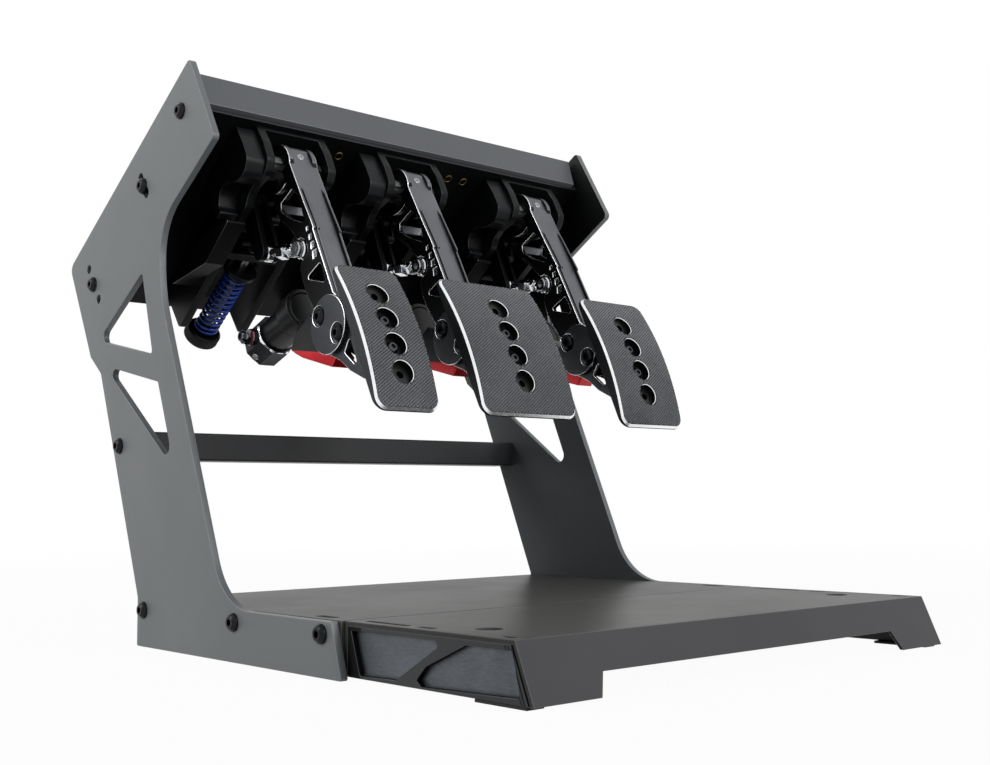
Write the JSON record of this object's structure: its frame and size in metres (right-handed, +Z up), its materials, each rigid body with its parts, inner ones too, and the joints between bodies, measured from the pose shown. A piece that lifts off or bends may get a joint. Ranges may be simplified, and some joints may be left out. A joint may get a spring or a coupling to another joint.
{
  "type": "sim racing pedal set",
  "caption": "Inverted racing pedal set: hanging clutch, brake and throttle pedals under a tilted deck between windowed side plates on a folded low base.",
  "frame": {"origin": "on the floor under the middle of the stand's box", "axes": "+X to the driver's right, +Y away from the driver, +Z up"},
  "size_m": [0.4684, 0.6329, 0.4864],
  "materials": {
    "plate_paint": "satin black powder coat",
    "tray_paint": "satin black powder coat",
    "cap_plastic": "matte moulded",
    "rubber": "matte",
    "black_screws": "black oxide steel",
    "unit_black": "black anodised",
    "cover_plastic": "satin moulded",
    "steel": "ground",
    "arm_grey": "grey anodised, bright chamfers",
    "bracket_grey": "grey anodised",
    "pad_grey": "dark anodised, bright rim",
    "bright_screws": "nickel plated",
    "link_chrome": "chrome",
    "spring_blue": "blue powder coat",
    "spring_grey": "grey coat",
    "knob_black": "black anodised, knurled",
    "knob_brass": "turned",
    "cylinder_black": "black anodised",
    "motor_grey": "dark anodised",
    "cradle_red": "red anodised"
  },
  "bodies": {
    "stand": {"left_side_plate": "plate_paint", "right_side_plate": "plate_paint", "rear_base_tray": "tray_paint", "front_base_tray": "tray_paint", "left_base_cap": "cap_plastic", "right_base_cap": "cap_plastic", "rubber_feet": "rubber", "rear_bar": "tray_paint", "deck": "tray_paint", "hood": "plate_paint", "stand_screws": "black_screws", "clutch_base": "unit_black", "clutch_cover": "cover_plastic", "clutch_sensor_box": "cover_plastic", "clutch_axles": "steel", "clutch_spring": "spring_blue", "brake_base": "unit_black", "brake_cover": "cover_plastic", "brake_sensor_box": "cover_plastic", "brake_axles": "steel", "brake_cylinder": "cylinder_black", "throttle_base": "unit_black", "throttle_cover": "cover_plastic", "throttle_sensor_box": "cover_plastic", "throttle_axles": "steel", "throttle_spring": "spring_grey"},
    "clutch_pedal": {"clutch_arm": "arm_grey", "clutch_bracket": "bracket_grey", "clutch_discs": "bracket_grey", "clutch_screws": "bright_screws", "clutch_pad": "pad_grey", "clutch_motor": "motor_grey", "clutch_cradle": "cradle_red"},
    "clutch_link_body": {"clutch_link": "link_chrome"},
    "clutch_rocker_body": {"clutch_rocker": "unit_black"},
    "clutch_slider_body": {"clutch_slider": "steel"},
    "clutch_knob_body": {"clutch_knob": "knob_black"},
    "brake_pedal": {"brake_arm": "arm_grey", "brake_bracket": "bracket_grey", "brake_discs": "bracket_grey", "brake_screws": "bright_screws", "brake_pad": "pad_grey", "brake_motor": "motor_grey", "brake_cradle": "cradle_red"},
    "brake_link_body": {"brake_link": "link_chrome"},
    "brake_rocker_body": {"brake_rocker": "unit_black"},
    "brake_slider_body": {"brake_slider": "steel"},
    "throttle_pedal": {"throttle_arm": "arm_grey", "throttle_bracket": "bracket_grey", "throttle_discs": "bracket_grey", "throttle_screws": "bright_screws", "throttle_pad": "pad_grey", "throttle_motor": "motor_grey", "throttle_cradle": "cradle_red"},
    "throttle_link_body": {"throttle_link": "link_chrome"},
    "throttle_rocker_body": {"throttle_rocker": "unit_black"},
    "throttle_slider_body": {"throttle_slider": "steel"},
    "throttle_knob_body": {"throttle_knob": "knob_brass"}
  },
  "joints": [
    {"name": "clutch_press", "type": "hinge", "parent": "stand", "child": "clutch_pedal", "pos_m": [-0.13, 0.088, 0.40848], "axis": [1, 0, 0], "range_deg": [0, 14], "stiffness_Nm_per_rad": 50, "springref_deg": -5.73},
    {"name": "clutch_link_swing", "type": "hinge", "parent": "clutch_pedal", "child": "clutch_link_body", "pos_m": [-0.142, 0.0475, 0.33098], "axis": [1, 0, 0], "range_deg": [-12.32, 0]},
    {"name": "clutch_rocker_turn", "type": "hinge", "parent": "stand", "child": "clutch_rocker_body", "pos_m": [-0.13, 0.12893, 0.38832], "axis": [1, 0, 0], "range_deg": [0, 20.66]},
    {"name": "clutch_slider_travel", "type": "slide", "parent": "stand", "child": "clutch_slider_body", "axis": [0, 0.8043, -0.5943], "range_m": [0, 0.00662], "deforming": ["clutch_spring"]},
    {"name": "clutch_knob_turn", "type": "hinge", "parent": "stand", "child": "clutch_knob_body", "pos_m": [-0.13, 0.24319, 0.28213], "axis": [0, 0.8043, -0.5943], "range_deg": [-180, 180]},
    {"name": "brake_press", "type": "hinge", "parent": "stand", "child": "brake_pedal", "pos_m": [-0.002, 0.088, 0.40848], "axis": [1, 0, 0], "range_deg": [0, 6.5], "stiffness_Nm_per_rad": 600, "springref_deg": -1.15},
    {"name": "brake_link_swing", "type": "hinge", "parent": "brake_pedal", "child": "brake_link_body", "pos_m": [-0.014, 0.0475, 0.33098], "axis": [1, 0, 0], "range_deg": [-5.96, 0]},
    {"name": "brake_rocker_turn", "type": "hinge", "parent": "stand", "child": "brake_rocker_body", "pos_m": [-0.002, 0.12893, 0.38832], "axis": [1, 0, 0], "range_deg": [0, 9.66]},
    {"name": "brake_slider_travel", "type": "slide", "parent": "stand", "child": "brake_slider_body", "axis": [0, 0.8043, -0.5943], "range_m": [0, 0.00316]},
    {"name": "throttle_press", "type": "hinge", "parent": "stand", "child": "throttle_pedal", "pos_m": [0.153, 0.088, 0.40848], "axis": [1, 0, 0], "range_deg": [0, 12.5], "stiffness_Nm_per_rad": 25, "springref_deg": -5.73},
    {"name": "throttle_link_swing", "type": "hinge", "parent": "throttle_pedal", "child": "throttle_link_body", "pos_m": [0.141, 0.0475, 0.33098], "axis": [1, 0, 0], "range_deg": [-11.13, 0]},
    {"name": "throttle_rocker_turn", "type": "hinge", "parent": "stand", "child": "throttle_rocker_body", "pos_m": [0.153, 0.12893, 0.38832], "axis": [1, 0, 0], "range_deg": [0, 18.47]},
    {"name": "throttle_slider_travel", "type": "slide", "parent": "stand", "child": "throttle_slider_body", "axis": [0, 0.8043, -0.5943], "range_m": [0, 0.00596], "deforming": ["throttle_spring"]},
    {"name": "throttle_knob_turn", "type": "hinge", "parent": "stand", "child": "throttle_knob_body", "pos_m": [0.153, 0.24319, 0.28213], "axis": [0, 0.8043, -0.5943], "range_deg": [-180, 180]}
  ],
  "couplings": [
    {"joint": "clutch_link_swing", "follows": "clutch_press", "ratio": -0.88},
    {"joint": "clutch_rocker_turn", "follows": "clutch_press", "ratio": 1.4755},
    {"joint": "clutch_slider_travel", "follows": "clutch_press", "m_per_rad": 0.02711},
    {"joint": "brake_link_swing", "follows": "brake_press", "ratio": -0.9174},
    {"joint": "brake_rocker_turn", "follows": "brake_press", "ratio": 1.4865},
    {"joint": "brake_slider_travel", "follows": "brake_press", "m_per_rad": 0.02787},
    {"joint": "throttle_link_swing", "follows": "throttle_press", "ratio": -0.8904},
    {"joint": "throttle_rocker_turn", "follows": "throttle_press", "ratio": 1.4779},
    {"joint": "throttle_slider_travel", "follows": "throttle_press", "m_per_rad": 0.02734}
  ]
}
